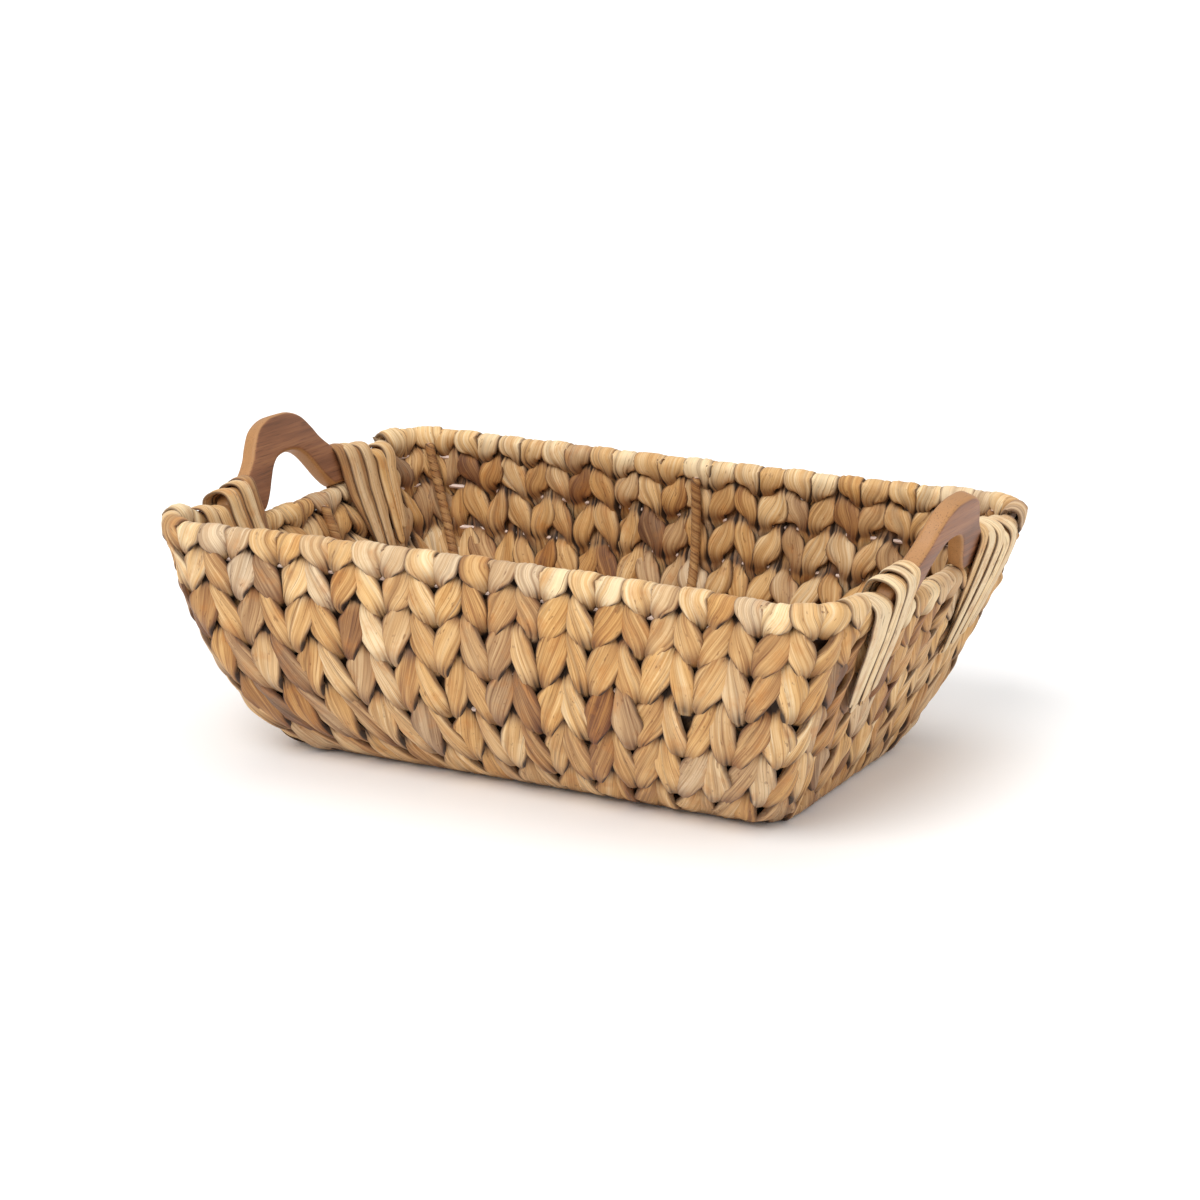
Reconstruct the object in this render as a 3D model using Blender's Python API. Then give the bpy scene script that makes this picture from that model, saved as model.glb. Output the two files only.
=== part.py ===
"""Rectangular bread basket: braided leaf columns round a wire frame, a woven base and two plank handles.

+X runs along the basket's length, +Z up. The origin is on the table, under the middle of the basket.
"""

import math

import bmesh
import bpy
from mathutils import Matrix, Vector

# Wall surface at its outer face, in metres: the rim outline and the base outline
WALL = 0.0110
RIM_HALF_LENGTH = 0.2005
RIM_HALF_WIDTH = 0.1378
RIM_CORNER = 0.0387
BASE_HALF_LENGTH = 0.1467
BASE_HALF_WIDTH = 0.0797
BASE_CORNER = 0.0211
RIM_WIRE_HEIGHT = 0.1259
END_FLARE = 1.07  # 1 is a straight flare from base to rim
SIDE_FLARE = 3.07  # over 1 bellies the long sides out low down
SIDE_BOW_IN = 0.06  # how far the long rims draw in at mid-length, as a share of the half width
SIDE_RISE = 0.0019  # how much the long rims rise at mid-length

# Braided columns
COLUMNS = 42
CORNER_COLUMNS = (3, 4, 17, 18, 24, 25, 38, 39)
DROP_COLUMNS = (2, 19, 23, 40)  # where the rim starts to rise beside a handle
LEVELS = (0.0, 0.15, 0.35, 0.60, 1.0)
SURFACE_STEP = 0.02  # for the wall's directions, in columns and in levels
ROLL_FLAT = 0.6  # flat share of the rolled top edge
GAP = 0.0003
GROOVE_WIDTH = 0.0045
OUTER_GROOVE = 0.0024
INNER_GROOVE = 0.0026
FOOT_GROOVE = 0.0020
FOOT_WIDTH = 0.0140

# Woven base
BASE_THICKNESS = 0.0090

# Wire frame
RIM_WIRE_RADIUS = 0.0016
HOOP_RADIUS = 0.0013
RIB_RADIUS = 0.0013
HOOP_LEVELS = (0.165, 0.38, 0.58, 0.77, 0.905)
HOOP_OUTWARD = 0.0005  # hoops lie this far outside the wall's middle
RING_INSET = 0.0080
RING_HEIGHT = 0.0060
WIRE_CLEARANCE = 0.00035
CROSS_RIB_COLUMNS = {"frame_rib_left": 16.5, "frame_rib_middle": 10.5, "frame_rib_right": 4.5}
LONG_RIB_COLUMNS = {"frame_rib_long": 0.5}
LONG_RIB_HEIGHT = 0.0075
CROSS_RIB_HEIGHT = BASE_THICKNESS + RIB_RADIUS + WIRE_CLEARANCE
RIB_TOP_LEVEL = 0.97
RIB_BEND_INSET = 0.0060  # how far inside the columns' feet a rib reaches the base
RIB_NEIGHBOURS = 0.6  # a rib cuts the columns whose middles are nearer than this, in columns

# Where the rim drops to carry a handle, counted in columns from the middle of a short end
HANDLE_DROP = 0.0192
DROP_FULL = 2.3
DROP_END = 3.5

# Plank handles
HANDLE_LEAN = math.radians(18)
HANDLE_THICKNESS = 0.0095
HANDLE_HEIGHT = 0.0480
HANDLE_OPENING_HEIGHT = 0.0265
HANDLE_OPENING_HALF_WIDTH = 0.0345
HANDLE_HALF_WIDTH = 0.0670
HANDLE_EDGE_RADIUS = 0.0016

# Leaf lashings over the handles' feet
LASHING_STATIONS = (0.0465, 0.0545, 0.0625, 0.0705)
LASHING_THICKNESS = 0.0024
LASHING_CLEARANCE = 0.0006
LASHING_TAIL = 0.0400
LASHING_LEAST_HEIGHT = 0.30  # over the handle's foot, as a share of the handle's height
LASHING_SHOULDER = 0.70  # where the lashing starts to round over the foot, as a share of its height

# Finishes: colour, roughness and metallic share
LEAF_FINISH = ((0.56, 0.35, 0.15, 1.0), 0.75, 0.0)
LASHING_FINISH = ((0.68, 0.48, 0.26, 1.0), 0.70, 0.0)
WOOD_FINISH = ((0.27, 0.13, 0.06, 1.0), 0.60, 0.0)
WIRE_FINISH = ((0.55, 0.48, 0.38, 1.0), 0.45, 0.8)


# ---------------------------------------------------------------- scene helpers


def clear_scene():
    for obj in list(bpy.data.objects):
        bpy.data.objects.remove(obj, do_unlink=True)


def new_collection(name):
    collection = bpy.data.collections.new(name)
    bpy.context.scene.collection.children.link(collection)
    return collection


def own_material(name, finish):
    """Each sub-part has a material of its own, with a finish of colour, roughness and metallic share."""
    material = bpy.data.materials.new(name + "_material")
    material.use_nodes = True
    shader = material.node_tree.nodes["Principled BSDF"]
    colour, roughness, metallic = finish
    shader.inputs["Base Color"].default_value = colour
    shader.inputs["Roughness"].default_value = roughness
    shader.inputs["Metallic"].default_value = metallic
    return material


def mesh_object(name, builder, collection, material=None):
    bmesh.ops.recalc_face_normals(builder, faces=builder.faces)
    mesh = bpy.data.meshes.new(name)
    builder.to_mesh(mesh)
    builder.free()
    obj = bpy.data.objects.new(name, mesh)
    collection.objects.link(obj)
    if material:
        mesh.materials.append(material)
    return obj


# ---------------------------------------------------------------- the wall's surface


def smooth(x):
    x = min(1.0, max(0.0, x))
    return x * x * (3.0 - 2.0 * x)


def outline_size(level):
    """Half length, half width and corner radius of the wall's outer face at a level, 0 base to 1 rim."""
    end_share = 1.0 - (1.0 - level) ** END_FLARE
    side_share = 1.0 - (1.0 - level) ** SIDE_FLARE
    length = BASE_HALF_LENGTH + (RIM_HALF_LENGTH - BASE_HALF_LENGTH) * end_share
    width = BASE_HALF_WIDTH + (RIM_HALF_WIDTH - BASE_HALF_WIDTH) * side_share
    corner = BASE_CORNER + (RIM_CORNER - BASE_CORNER) * level
    return length, width, corner


def outer_point(column, level, inset=0.0):
    """Point on the outer face. Columns count round from the middle of the +X end, towards +Y."""
    length, width, corner = outline_size(level)
    length -= inset
    width -= inset
    corner -= inset
    quarter_turns, share = divmod(4.0 * (column % COLUMNS) / COLUMNS, 1.0)
    mirrored = int(quarter_turns) % 2 == 1
    end_run = width - corner
    arc_run = corner * math.pi / 2.0
    side_run = length - corner
    distance = (1.0 - share if mirrored else share) * (end_run + arc_run + side_run)
    if distance < end_run:
        x, y = length, distance
    elif distance < end_run + arc_run:
        angle = (distance - end_run) / corner
        x, y = side_run + corner * math.cos(angle), end_run + corner * math.sin(angle)
    else:
        x, y = side_run - (distance - end_run - arc_run), width
    along = max(0.0, 1.0 - (x / length) ** 2)
    y *= 1.0 - SIDE_BOW_IN * level * along
    z = level * (RIM_WIRE_HEIGHT + SIDE_RISE * along * smooth((y / width - 0.8) / 0.2))
    x *= -1.0 if quarter_turns in (1, 2) else 1.0
    y *= -1.0 if quarter_turns in (2, 3) else 1.0
    return Vector((x, y, z))


def outward(column, level):
    """Unit normal of the wall's outer face."""
    step = SURFACE_STEP
    low, high = max(0.0, level - step), min(0.999, level + step)
    across = outer_point(column + step, level) - outer_point(column - step, level)
    upward = outer_point(column, high) - outer_point(column, low)
    return across.cross(upward).normalized()


def up_the_wall(column, level):
    step = SURFACE_STEP
    high = min(0.999, level + step)
    return (outer_point(column, high) - outer_point(column, high - 2.0 * step)).normalized()


def wall_point(column, level, depth):
    """Point at a depth below the outer face."""
    return outer_point(column, level) - outward(column, level) * depth


def columns_from_end(column):
    half = COLUMNS / 2.0
    around = column % half
    return min(around, half - around)


def top_level(column):
    """Level of the rim wire, which drops under each handle."""
    drop = 1.0 - smooth((columns_from_end(column) - DROP_FULL) / (DROP_END - DROP_FULL))
    return 1.0 - drop * HANDLE_DROP / RIM_WIRE_HEIGHT


def arc_columns(metres):
    """How many columns a distance along the rim is."""
    length, width, corner = outline_size(1.0)
    around = 4.0 * (length + width - 2.0 * corner) + 2.0 * math.pi * corner
    return metres * COLUMNS / around


# ---------------------------------------------------------------- braided columns


def column_section(column, grooved):
    """The wall's section at one place round the basket, as its outer side, its top and its inner side."""
    outer_cut = OUTER_GROOVE if grooved else 0.0
    inner_cut = INNER_GROOVE if grooved else 0.0
    foot_cut = FOOT_GROOVE if grooved else 0.0
    top = top_level(column)
    outer = [wall_point(column, level * top, outer_cut) for level in LEVELS]
    outer[0].z = foot_cut
    inner = [wall_point(column, level * top, WALL - inner_cut) for level in LEVELS[1:]]
    foot = outer_point(column, 0.0, FOOT_WIDTH)
    foot_top = foot + Vector((0.0, 0.0, BASE_THICKNESS))
    foot.z = foot_cut
    centre = wall_point(column, top, WALL / 2.0)
    normal, up = outward(column, top), up_the_wall(column, top)
    half_flat = (WALL / 2.0 - max(outer_cut, inner_cut)) * ROLL_FLAT
    roll = WALL / 2.0 - outer_cut
    outer_top = centre + normal * half_flat + up * roll
    inner_top = centre - normal * half_flat + up * roll
    return outer + [outer_top], [foot, foot_top] + inner + [inner_top]


def wall_braid(number, collection, material):
    """One braided column, with grooves between it and its neighbours."""
    half = 0.5 - arc_columns(GAP / 2.0)
    groove = arc_columns(GROOVE_WIDTH)
    places = [-half, -half + groove, half - groove, half]
    if number in CORNER_COLUMNS:
        places.insert(2, 0.0)
    builder = bmesh.new()
    sections = []
    for index, place in enumerate(places):
        grooved = index in (0, len(places) - 1)
        outer, inner = column_section(number + place, grooved)
        outer = [builder.verts.new(point) for point in outer]
        inner = [builder.verts.new(point) for point in inner]
        sections.append((outer, inner))
    for (outer_a, inner_a), (outer_b, inner_b) in zip(sections, sections[1:]):
        ring_a = outer_a + inner_a[::-1]
        ring_b = outer_b + inner_b[::-1]
        for i in range(len(ring_a)):
            j = (i + 1) % len(ring_a)
            builder.faces.new((ring_a[i], ring_a[j], ring_b[j], ring_b[i]))
    for outer, inner in (sections[0], sections[-1]):
        builder.faces.new((outer[0], inner[0], inner[1]))
        for i in range(len(outer) - 1):
            builder.faces.new((outer[i], outer[i + 1], inner[i + 2]))
            builder.faces.new((outer[i], inner[i + 2], inner[i + 1]))
    return mesh_object(f"wall_braid_{number + 1:02d}", builder, collection, material)


# ---------------------------------------------------------------- wires


def wire_curve(name, points, radius, closed, collection, sides):
    curve = bpy.data.curves.new(name, "CURVE")
    curve.dimensions = "3D"
    spline = curve.splines.new("POLY")
    spline.points.add(len(points) - 1)
    for target, point in zip(spline.points, points):
        target.co = (*point, 1.0)
    spline.use_cyclic_u = closed
    spline.use_smooth = True
    curve.bevel_depth = radius
    curve.bevel_resolution = (sides - 4) // 2
    curve.use_fill_caps = not closed
    obj = bpy.data.objects.new(name, curve)
    collection.objects.link(obj)
    return obj


def mesh_of_curve(obj, collection):
    """A mesh copy of a curve, with its caps joined on, in place of the curve."""
    bpy.context.view_layer.update()
    graph = bpy.context.evaluated_depsgraph_get()
    mesh = bpy.data.meshes.new_from_object(obj.evaluated_get(graph))
    name, matrix = obj.name, obj.matrix_world.copy()
    bpy.data.objects.remove(obj, do_unlink=True)
    builder = bmesh.new()
    builder.from_mesh(mesh)
    bmesh.ops.remove_doubles(builder, verts=builder.verts, dist=0.00001)
    bmesh.ops.recalc_face_normals(builder, faces=builder.faces)
    builder.to_mesh(mesh)
    builder.free()
    copy = bpy.data.objects.new(name, mesh)
    copy.matrix_world = matrix
    collection.objects.link(copy)
    return copy


def wire_places():
    """Places round the basket where a wire has a point: each column's edge, and more where the wall turns."""
    places = []
    for number in range(COLUMNS):
        places.append(number - 0.5)
        if number in CORNER_COLUMNS + DROP_COLUMNS:
            places.append(float(number))
    return places


def loop_route(level, depth):
    return [wall_point(place, level * top_level(place), depth) for place in wire_places()]


def ring_route():
    points = [outer_point(place, 0.0, RING_INSET) for place in wire_places()]
    for point in points:
        point.z = RING_HEIGHT
    return points


def rib_side(column):
    """A rib's way down the inner groove between two columns, from the rim to the edge of the base."""
    slope = math.atan(INNER_GROOVE / GROOVE_WIDTH)
    depth = WALL - INNER_GROOVE + channel_radius(RIB_RADIUS, 6) / math.cos(slope) + GAP
    levels = [RIB_TOP_LEVEL] + [level for level in LEVELS[::-1] if 0.0 < level < RIB_TOP_LEVEL]
    return [wall_point(column, level * top_level(column), depth) for level in levels]


def rib_route(first, second, height):
    """Down one side of the basket, across the base at a height, and up the other side."""
    down, up = rib_side(first), rib_side(second)[::-1]
    ends = []
    for column in (first, second):
        edge = outer_point(column, 0.0, FOOT_WIDTH + RIB_BEND_INSET)
        edge.z = height
        ends.append(edge)
    return down + ends + up


def wire_routes():
    """Every wire of the frame: name, route, radius and whether it closes on itself."""
    routes = [("rim_wire", loop_route(1.0, WALL / 2.0), RIM_WIRE_RADIUS, True)]
    for number, level in enumerate(HOOP_LEVELS, start=1):
        route = loop_route(level, WALL / 2.0 - HOOP_OUTWARD)
        routes.append((f"hoop_wire_{number}", route, HOOP_RADIUS, True))
    routes.append(("base_ring_wire", ring_route(), RIM_WIRE_RADIUS, True))
    for name, column in CROSS_RIB_COLUMNS.items():
        routes.append((name, rib_route(-column, column, CROSS_RIB_HEIGHT), RIB_RADIUS, False))
    half = COLUMNS / 2.0
    for name, column in LONG_RIB_COLUMNS.items():
        routes.append((name, rib_route(half - column, column, LONG_RIB_HEIGHT), RIB_RADIUS, False))
    return routes


def channel_radius(wire_radius, sides):
    """Radius at the corners of a channel whose flats clear the wire."""
    return (wire_radius + WIRE_CLEARANCE) / math.cos(math.pi / sides)


def wire_frame(parts, cutters):
    """The wires, and for each a wider tube that cuts its channel."""
    channels = {}
    for name, route, radius, closed in wire_routes():
        wire = wire_curve(name, route, radius, closed, parts, sides=6)
        wire = mesh_of_curve(wire, parts)
        wire.data.materials.append(own_material(name, WIRE_FINISH))
        wire.data.shade_smooth()
        sides = 4 if closed else 6
        wide = channel_radius(radius, sides)
        cutter = wire_curve("channel_" + name, route, wide, closed, cutters, sides)
        cutter = mesh_of_curve(cutter, cutters)
        cutter.hide_render = True
        cutter.display_type = "WIRE"
        channels[name] = cutter
    return channels


def cut(obj, cutter):
    modifier = obj.modifiers.new("cut_" + cutter.name, "BOOLEAN")
    modifier.operation = "DIFFERENCE"
    modifier.solver = "EXACT"
    modifier.object = cutter


# ---------------------------------------------------------------- woven base


def base_mat(collection, material):
    """The woven base: a slab that fills the ring of columns' feet."""
    places = wire_places()
    builder = bmesh.new()
    rings = []
    for height in (0.0, BASE_THICKNESS):
        ring = []
        for place in places:
            point = outer_point(place, 0.0, FOOT_WIDTH + GAP)
            point.z = height
            ring.append(builder.verts.new(point))
        rings.append(ring)
    low, high = rings
    for i in range(len(low)):
        j = (i + 1) % len(low)
        builder.faces.new((low[i], low[j], high[j], high[i]))
    builder.faces.new(low[::-1])
    builder.faces.new(high)
    return mesh_object("base_mat", builder, collection, material)


# ---------------------------------------------------------------- handles


def handle_outline():
    """Half of the bell-shaped outline, from the top of the arch out to the foot and back to the opening's top."""
    top, crown = HANDLE_HEIGHT, HANDLE_OPENING_HEIGHT
    foot, gap = HANDLE_HALF_WIDTH, HANDLE_OPENING_HALF_WIDTH
    outer = [
        (0.0, top),
        (0.30 * gap, 0.985 * top),
        (0.60 * gap, 0.90 * top),
        (0.82 * gap, 0.74 * top),
        (0.97 * gap, 0.60 * top),
        (1.20 * gap, 0.46 * top),
        (0.74 * foot, 0.375 * top),
        (0.87 * foot, 0.335 * top),
        (0.965 * foot, 0.27 * top),
        (foot, 0.165 * top),
        (0.96 * foot, 0.075 * top),
        (0.87 * foot, 0.020 * top),
        (0.78 * foot, 0.0),
    ]
    inner = [
        (gap, 0.0),
        (0.90 * gap, 0.10 * crown),
        (0.76 * gap, 0.30 * crown),
        (0.62 * gap, 0.55 * crown),
        (0.46 * gap, 0.80 * crown),
        (0.27 * gap, 0.955 * crown),
        (0.0, crown),
    ]
    return outer + inner


def handle(name, end, collection):
    """A plank handle standing on the lowered rim of one short end and leaning out with the wall."""
    column = 0.0 if end > 0 else COLUMNS / 2.0
    half = handle_outline()
    outline = half + [(-u, v) for u, v in half[-2:0:-1]]
    curve = bpy.data.curves.new(name, "CURVE")
    curve.dimensions = "2D"
    curve.fill_mode = "BOTH"
    curve.extrude = HANDLE_THICKNESS / 2.0 - HANDLE_EDGE_RADIUS
    curve.bevel_depth = HANDLE_EDGE_RADIUS
    curve.bevel_resolution = 0
    curve.offset = -HANDLE_EDGE_RADIUS
    spline = curve.splines.new("POLY")
    spline.points.add(len(outline) - 1)
    for target, (u, v) in zip(spline.points, outline):
        target.co = (u, v, 0.0, 1.0)
    spline.use_cyclic_u = True
    obj = bpy.data.objects.new(name, curve)
    collection.objects.link(obj)
    foot, across, lean_up, normal = handle_frame(column, end)
    obj.matrix_world = Matrix.Translation(foot) @ Matrix((across, lean_up, normal)).transposed().to_4x4()
    obj = mesh_of_curve(obj, collection)
    obj.data.materials.append(own_material(name, WOOD_FINISH))
    return obj


def handle_frame(column, end):
    """Middle of the handle's foot line, and its directions across, up and outward."""
    top = top_level(column)
    lean_up = Vector((end * math.sin(HANDLE_LEAN), 0.0, math.cos(HANDLE_LEAN)))
    normal = Vector((end * math.cos(HANDLE_LEAN), 0.0, -math.sin(HANDLE_LEAN)))
    across = lean_up.cross(normal)
    foot = wall_point(column, top, WALL / 2.0)
    foot += lean_up * (WALL / 2.0 + GAP)
    return foot, across, lean_up, normal


def foot_top(distance):
    """Height of the handle's upper edge above its foot line, at a distance from its middle."""
    outline = handle_outline()
    for (u0, v0), (u1, v1) in zip(outline, outline[1:]):
        if u0 <= distance <= u1:
            return v0 + (v1 - v0) * (distance - u0) / (u1 - u0)
    return 0.0


# ---------------------------------------------------------------- lashings


def lashing_section(distance, side, end):
    """A saddle over the foot and down both faces of the wall, as its inner and its outer line."""
    column = (0.0 if end > 0 else COLUMNS / 2.0) + side * end * arc_columns(distance)
    foot, _, lean_up, normal = handle_frame(0.0 if end > 0 else COLUMNS / 2.0, end)
    middle = Vector((foot.x, side * distance, foot.z))
    near_top = top_level(column)
    tail = LASHING_TAIL / RIM_WIRE_HEIGHT
    levels = (near_top - tail, near_top - 0.5 * tail, near_top)
    foot_height = max(foot_top(distance), LASHING_LEAST_HEIGHT * HANDLE_HEIGHT)
    lines = []
    for away in (LASHING_CLEARANCE, LASHING_CLEARANCE + LASHING_THICKNESS):
        half = WALL / 2.0 + away
        line = [wall_point(column, level, -away) for level in levels]
        shoulder = lean_up * (foot_height * LASHING_SHOULDER)
        crest = lean_up * (foot_height + away)
        line.append(middle + normal * half + shoulder)
        line.append(middle + normal * (half * LASHING_SHOULDER) + crest)
        line.append(middle - normal * (half * LASHING_SHOULDER) + crest)
        line.append(middle - normal * half + shoulder)
        line += [wall_point(column, level, WALL + away) for level in levels[::-1]]
        lines.append(line)
    return lines


def lashing(name, side, end, collection, material):
    builder = bmesh.new()
    rings = []
    for distance in LASHING_STATIONS:
        under, over = lashing_section(distance, side, end)
        rings.append([builder.verts.new(point) for point in under + over[::-1]])
    for ring_a, ring_b in zip(rings, rings[1:]):
        for i in range(len(ring_a)):
            j = (i + 1) % len(ring_a)
            builder.faces.new((ring_a[i], ring_a[j], ring_b[j], ring_b[i]))
    for ring in (rings[0], rings[-1]):
        count = len(ring)
        for i in range(count // 2 - 1):
            builder.faces.new((ring[i], ring[i + 1], ring[count - 2 - i], ring[count - 1 - i]))
    return mesh_object(name, builder, collection, material)


# ---------------------------------------------------------------- assembly


def main():
    clear_scene()
    parts = new_collection("bread_basket")
    cutters = new_collection("cutters")
    cutters.hide_render = True
    channels = wire_frame(parts, cutters)
    loops = [name for name in channels if not name.startswith("frame_rib")]
    ribs = [name for name in channels if name.startswith("frame_rib")]

    for number in range(COLUMNS):
        name = f"wall_braid_{number + 1:02d}"
        braid = wall_braid(number, parts, own_material(name, LEAF_FINISH))
        for loop in loops:
            cut(braid, channels[loop])
        for rib in ribs:
            columns = CROSS_RIB_COLUMNS if rib in CROSS_RIB_COLUMNS else LONG_RIB_COLUMNS
            column = columns[rib]
            across = -column if rib in CROSS_RIB_COLUMNS else COLUMNS / 2.0 - column
            for end in (column, across):
                away = abs((number - end + COLUMNS / 2.0) % COLUMNS - COLUMNS / 2.0)
                if away < RIB_NEIGHBOURS:
                    cut(braid, channels[rib])

    mat = base_mat(parts, own_material("base_mat", LEAF_FINISH))
    for rib in ribs:
        cut(mat, channels[rib])

    for name, end in (("handle_left", -1), ("handle_right", 1)):
        handle(name, end, parts)
        for place, side in (("front", -1), ("back", 1)):
            lashing_name = f"lashing_{name[7:]}_{place}"
            lashing(lashing_name, side, end, parts, own_material(lashing_name, LASHING_FINISH))


main()
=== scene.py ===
"""Bread basket of dried water-hyacinth leaf, twined over a wire frame, with two lashed wooden handles."""

import math

import bpy
import numpy as np
from mathutils import Matrix, Vector


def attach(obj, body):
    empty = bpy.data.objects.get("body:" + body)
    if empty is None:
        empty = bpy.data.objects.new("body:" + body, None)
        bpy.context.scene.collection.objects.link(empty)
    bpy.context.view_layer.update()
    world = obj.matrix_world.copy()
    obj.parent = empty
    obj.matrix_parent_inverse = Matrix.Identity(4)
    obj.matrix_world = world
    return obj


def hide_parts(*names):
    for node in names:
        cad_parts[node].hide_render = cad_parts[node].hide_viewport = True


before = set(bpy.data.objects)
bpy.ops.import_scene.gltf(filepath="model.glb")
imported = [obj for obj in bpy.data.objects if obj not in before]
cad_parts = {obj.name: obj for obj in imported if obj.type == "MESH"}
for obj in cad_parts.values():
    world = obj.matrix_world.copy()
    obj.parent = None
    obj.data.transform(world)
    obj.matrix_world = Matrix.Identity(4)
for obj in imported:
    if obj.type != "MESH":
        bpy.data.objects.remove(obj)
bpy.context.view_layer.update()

# ---------------------------------------------------------------- driving sizes, as in the CAD, in metres

WALL = 0.0110
RIM_HALF_LENGTH = 0.2005
RIM_HALF_WIDTH = 0.1378
RIM_CORNER = 0.0387
BASE_HALF_LENGTH = 0.1467
BASE_HALF_WIDTH = 0.0797
BASE_CORNER = 0.0211
RIM_WIRE_HEIGHT = 0.1259
END_FLARE = 1.07
SIDE_FLARE = 3.07
SIDE_BOW_IN = 0.06
SIDE_RISE = 0.0019
COLUMNS = 42
FOOT_WIDTH = 0.0140
BASE_THICKNESS = 0.0090
HANDLE_DROP = 0.0192
DROP_FULL = 2.3
DROP_END = 3.5
HANDLE_LEAN = math.radians(18.0)
HANDLE_THICKNESS = 0.0095
HANDLE_HEIGHT = 0.0480
HANDLE_OPENING_HEIGHT = 0.0265
HANDLE_OPENING_HALF_WIDTH = 0.0345
HANDLE_HALF_WIDTH = 0.0670
CROSS_RIBS = {"left": 16.5, "middle": 10.5, "right": 4.5}
LONG_RIB = 0.5

# ---------------------------------------------------------------- the weave

BRAID_SHIFT = -0.25  # where the chevrons stand against the CAD columns, in columns
SINGLE_OFFSET = 0.25  # each chevron column is two twined strands, this far either side of its middle
CROSSINGS = (0.918, 0.757, 0.553, 0.343, 0.115)  # levels where the two plies of a strand change places
# a leaf starts this far above the tip of the one before it, as a level, at each crossing
LEAF_OVERLAP = np.array([0.014, 0.030, 0.034, 0.036, 0.040])
CROSSING_JITTER = 0.009
MOST_JITTER = 0.02
JITTER_SHARES = np.array([0.3, 1.0, 1.0, 1.0, 0.6])  # the first and last crossings wander less
SWING = 0.122  # sideways swing of a ply, in columns
PLY_DEPTH = 0.0037
RIM_PLY_DEPTH = 0.0044
RIM_LIFT = 0.0040
FLAP_OVERLAP = 0.0004  # one flap of each pair lies a little over the other
FLAP_SHARE = 0.075  # of a ply's samples, which carry the flap's own colour
FOLD_TURN = 80.0  # degrees either side of straight up that a strand bends over the rim wire
FOLD_POINTS = 15
NEAR_RIM = 0.10  # levels below the rim wire over which a ply becomes a flap
LEAF_WIDTH_TOP = 0.0168
LEAF_WIDTH_BASE = 0.0152
FLAP_WIDTH = 0.0180
FLAP_THICKNESS = 0.0030
WAIST_WIDTH = 0.0078
LEAF_THICKNESS = 0.0040
WAIST_THICKNESS = 0.0078
END_WIDTH = 0.15  # how full a leaf is at its two ends, from waist to widest
SWELL_END = 0.30  # a leaf is widest from here, as a share of its length
TAPER_START = 0.45  # and narrows from here
TIP_SHADE_START = 0.62  # painted shade darkens its tip from here
ROLL = math.radians(24.0)  # how far a ply rolls over where it changes sides
CHEVRON_LEAN = 0.016  # how far leaves lean towards the middle of their chevron, in columns
OUTER_SHARE = 0.13  # leaves stay outside for a little more than half of each turn
REACH_CURVE = 0.62
UNEVEN_DEPTH = 0.0008
MOST_UNEVEN_DEPTH = 0.0011
UNEVEN_SWING = 0.10
UNEVEN_SIDE = 0.026  # in columns
UNEVEN_ROLL = 0.10
UNEVEN_WIDTH = 0.10
MOST_UNEVEN_WIDTH = 0.16
PLY_SAMPLES = 150
TURN_SMOOTHING = 9  # samples that a ply's turning is averaged over
SAMPLE_STEP = 0.0013
SECTION_POINTS = 34
CREASE_DEPTH = 0.00038
END_NARROWING = 0.45  # how narrow a strand's own ends are
END_LENGTH = 0.004
LOWEST_LEVEL = 0.05
# painted shade between the plies: leaf within the first distance of the middle of the wall is shaded darkest,
# and beyond the second it has no painted shade
CORE_SHADE_FULL = 0.0006
CORE_SHADE_END = 0.0027
INNER_SHADE_CUT = 0.72  # how much of that painted shade is left out on faces towards the inside
UNDER_HEIGHT = 0.0022  # of the leaf that is tucked under the base ring

random = np.random.RandomState(11)


def smooth(x):
    """A soft step from 0 to 1."""
    x = np.clip(x, 0.0, 1.0)
    return x * x * (3.0 - 2.0 * x)


def unit(vectors):
    """Vectors at length one."""
    return vectors / np.maximum(np.linalg.norm(vectors, axis=-1, keepdims=True), 1e-12)


def outer_point(column, level, inset=0.0):
    """Points on the wall's outer face. Columns count round from the middle of the +X end, towards +Y."""
    column, level = np.broadcast_arrays(np.asarray(column, float), np.asarray(level, float))
    end_share = 1.0 - (1.0 - level) ** END_FLARE
    side_share = 1.0 - (1.0 - level) ** SIDE_FLARE
    length = BASE_HALF_LENGTH + (RIM_HALF_LENGTH - BASE_HALF_LENGTH) * end_share - inset
    width = BASE_HALF_WIDTH + (RIM_HALF_WIDTH - BASE_HALF_WIDTH) * side_share - inset
    corner = BASE_CORNER + (RIM_CORNER - BASE_CORNER) * level - inset
    turns = 4.0 * np.mod(column, COLUMNS) / COLUMNS
    quarter = np.floor(turns)
    share = turns - quarter
    share = np.where(quarter % 2 == 1, 1.0 - share, share)
    end_run = width - corner
    arc_run = corner * math.pi / 2.0
    side_run = length - corner
    distance = share * (end_run + arc_run + side_run)
    angle = np.clip((distance - end_run) / corner, 0.0, math.pi / 2.0)
    x = side_run + corner * np.cos(angle)
    y = np.minimum(distance, end_run) + corner * np.sin(angle)
    x = x - np.maximum(0.0, distance - end_run - arc_run)
    along = np.maximum(0.0, 1.0 - (x / length) ** 2)
    y = y * (1.0 - SIDE_BOW_IN * level * along)
    z = level * (RIM_WIRE_HEIGHT + SIDE_RISE * along * smooth((y / width - 0.8) / 0.2))
    x = np.where((quarter == 1) | (quarter == 2), -x, x)
    y = np.where((quarter == 2) | (quarter == 3), -y, y)
    return np.stack([x, y, z], axis=-1)


def wall_frame(column, level):
    """Middle of the wall, and its directions outward, sideways (towards higher columns) and up."""
    step = 0.02
    level = np.asarray(level, float)
    low, high = np.maximum(0.0, level - step), np.minimum(0.999, level + step)
    side = outer_point(column + step, level) - outer_point(column - step, level)
    upward = outer_point(column, high) - outer_point(column, low)
    outward = unit(np.cross(side, upward))
    return outer_point(column, level) - outward * WALL / 2.0, outward, unit(side), unit(upward)


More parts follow.
